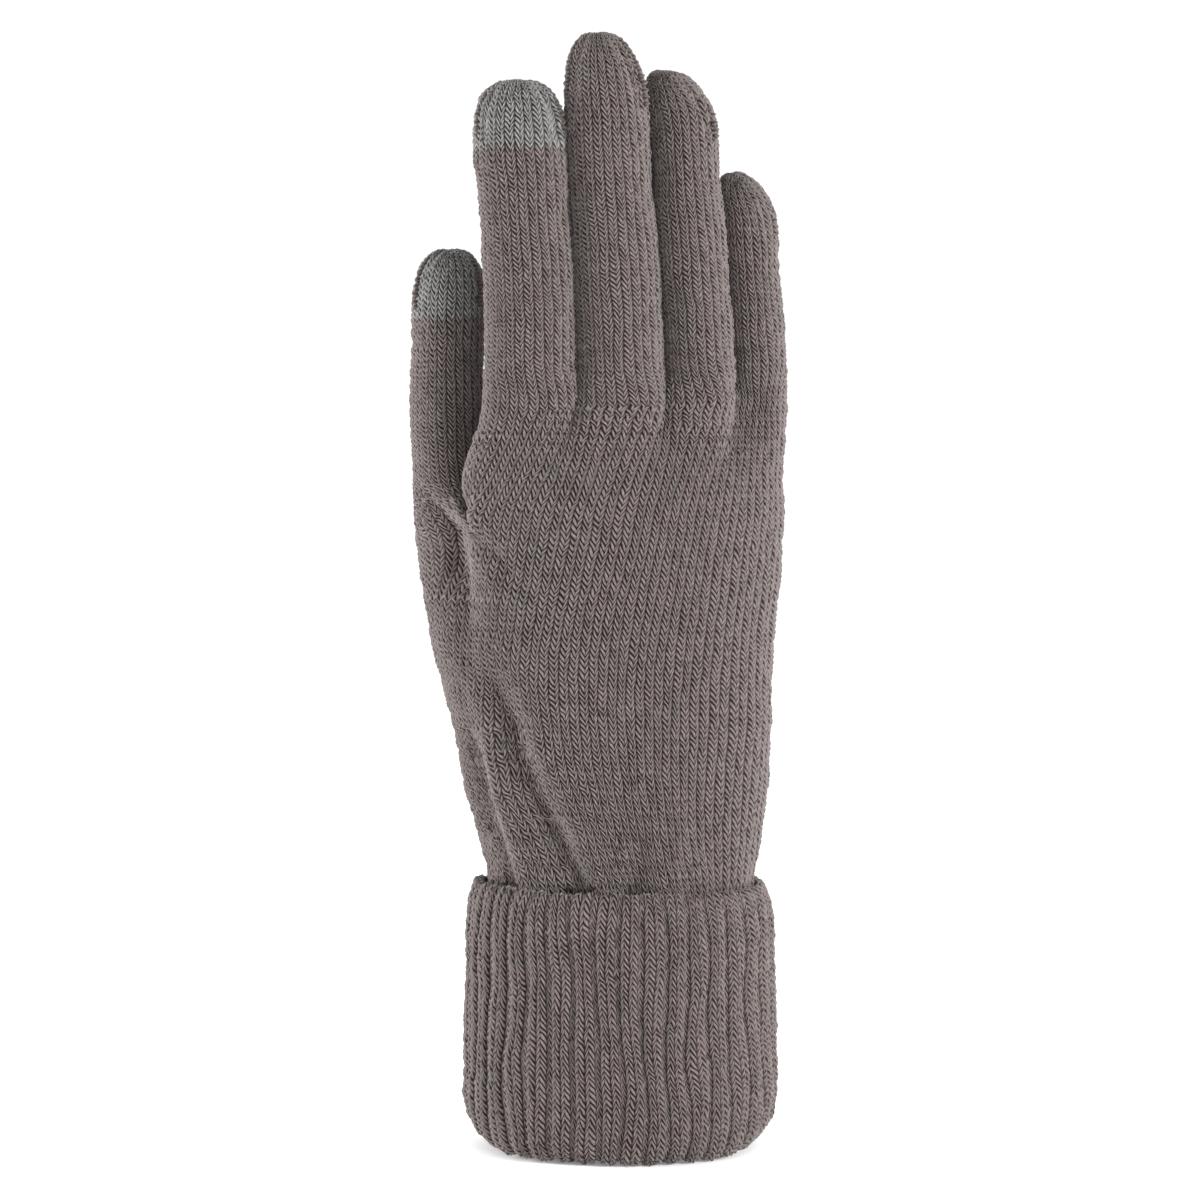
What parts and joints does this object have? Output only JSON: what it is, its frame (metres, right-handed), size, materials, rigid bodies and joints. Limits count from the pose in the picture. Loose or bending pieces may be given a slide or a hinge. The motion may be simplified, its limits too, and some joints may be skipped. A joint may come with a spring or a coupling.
{
  "type": "touchscreen glove",
  "caption": "Right-hand knitted glove with a turned-up ribbed cuff and conductive yarn at the tips of the thumb and index finger.",
  "frame": {"origin": "centre of the wrist opening, in the plane of the turned-up cuff's lower fold", "axes": "+Z along the fingers to their tips, -Y out of the back of the hand, +Y out of the palm, -X towards the thumb"},
  "size_m": [0.0837, 0.0537, 0.2483],
  "materials": {
    "jersey": "heather taupe-grey plain knit, matt and slightly fuzzy",
    "rib": "heather taupe-grey 2x1 rib knit, matt and slightly fuzzy",
    "touch_yarn": "cool grey conductive plain knit, slightly smoother than the body",
    "thread": "fuzzy linking yarn",
    "rubber": "thin covered elastic"
  },
  "bodies": {
    "hand": {"hand_body": "jersey", "cuff_inner": "rib", "cuff_turnup": "rib", "cuff_welt": "rib", "wrist_elastic_1": "rubber", "wrist_elastic_2": "rubber", "wrist_elastic_3": "rubber"},
    "thumb_lower": {"thumb_lower": "jersey"},
    "thumb_upper": {"thumb_upper": "jersey", "thumb_touch_tip": "touch_yarn", "thumb_tip_seam": "thread"},
    "index_lower": {"index_lower": "jersey"},
    "index_upper": {"index_upper": "jersey", "index_touch_tip": "touch_yarn", "index_tip_seam": "thread"},
    "middle_lower": {"middle_lower": "jersey"},
    "middle_upper": {"middle_upper": "jersey", "middle_tip_seam": "thread"},
    "ring_lower": {"ring_lower": "jersey"},
    "ring_upper": {"ring_upper": "jersey", "ring_tip_seam": "thread"},
    "little_lower": {"little_lower": "jersey"},
    "little_upper": {"little_upper": "jersey", "little_tip_seam": "thread"}
  },
  "joints": [
    {"name": "thumb_swing", "type": "hinge", "parent": "hand", "child": "thumb_lower", "pos_m": [-0.0479, 0.0172, 0.13615], "axis": [0, -1, 0], "range_deg": [0, 35]},
    {"name": "thumb_bend", "type": "hinge", "parent": "thumb_lower", "child": "thumb_upper", "pos_m": [-0.0388, 0.0246, 0.16815], "axis": [-1, 0, 0], "range_deg": [0, 70]},
    {"name": "index_knuckle", "type": "hinge", "parent": "hand", "child": "index_lower", "pos_m": [-0.0203, 0.0069, 0.16615], "axis": [-0.9994, 0, -0.0354], "range_deg": [0, 85]},
    {"name": "index_bend", "type": "hinge", "parent": "index_lower", "child": "index_upper", "pos_m": [-0.0209, 0.00715, 0.19715], "axis": [-0.9994, 0, -0.0354], "range_deg": [0, 95]},
    {"name": "middle_knuckle", "type": "hinge", "parent": "hand", "child": "middle_lower", "pos_m": [-0.0001, 0.0074, 0.16615], "axis": [-0.9985, 0, -0.0555], "range_deg": [0, 85]},
    {"name": "middle_bend", "type": "hinge", "parent": "middle_lower", "child": "middle_upper", "pos_m": [-0.0016, 0.00765, 0.20115], "axis": [-0.9985, 0, -0.0555], "range_deg": [0, 95]},
    {"name": "ring_knuckle", "type": "hinge", "parent": "hand", "child": "ring_lower", "pos_m": [0.0173, 0.0096, 0.16615], "axis": [-0.997, 0, -0.0778], "range_deg": [0, 85]},
    {"name": "ring_bend", "type": "hinge", "parent": "ring_lower", "child": "ring_upper", "pos_m": [0.0151, 0.0102, 0.19715], "axis": [-0.997, 0, -0.0778], "range_deg": [0, 95]},
    {"name": "little_knuckle", "type": "hinge", "parent": "hand", "child": "little_lower", "pos_m": [0.0306, 0.0144, 0.16615], "axis": [-0.9967, 0, -0.0809], "range_deg": [0, 85]},
    {"name": "little_bend", "type": "hinge", "parent": "little_lower", "child": "little_upper", "pos_m": [0.0293, 0.0147, 0.18815], "axis": [-0.9967, 0, -0.0809], "range_deg": [0, 95]}
  ]
}
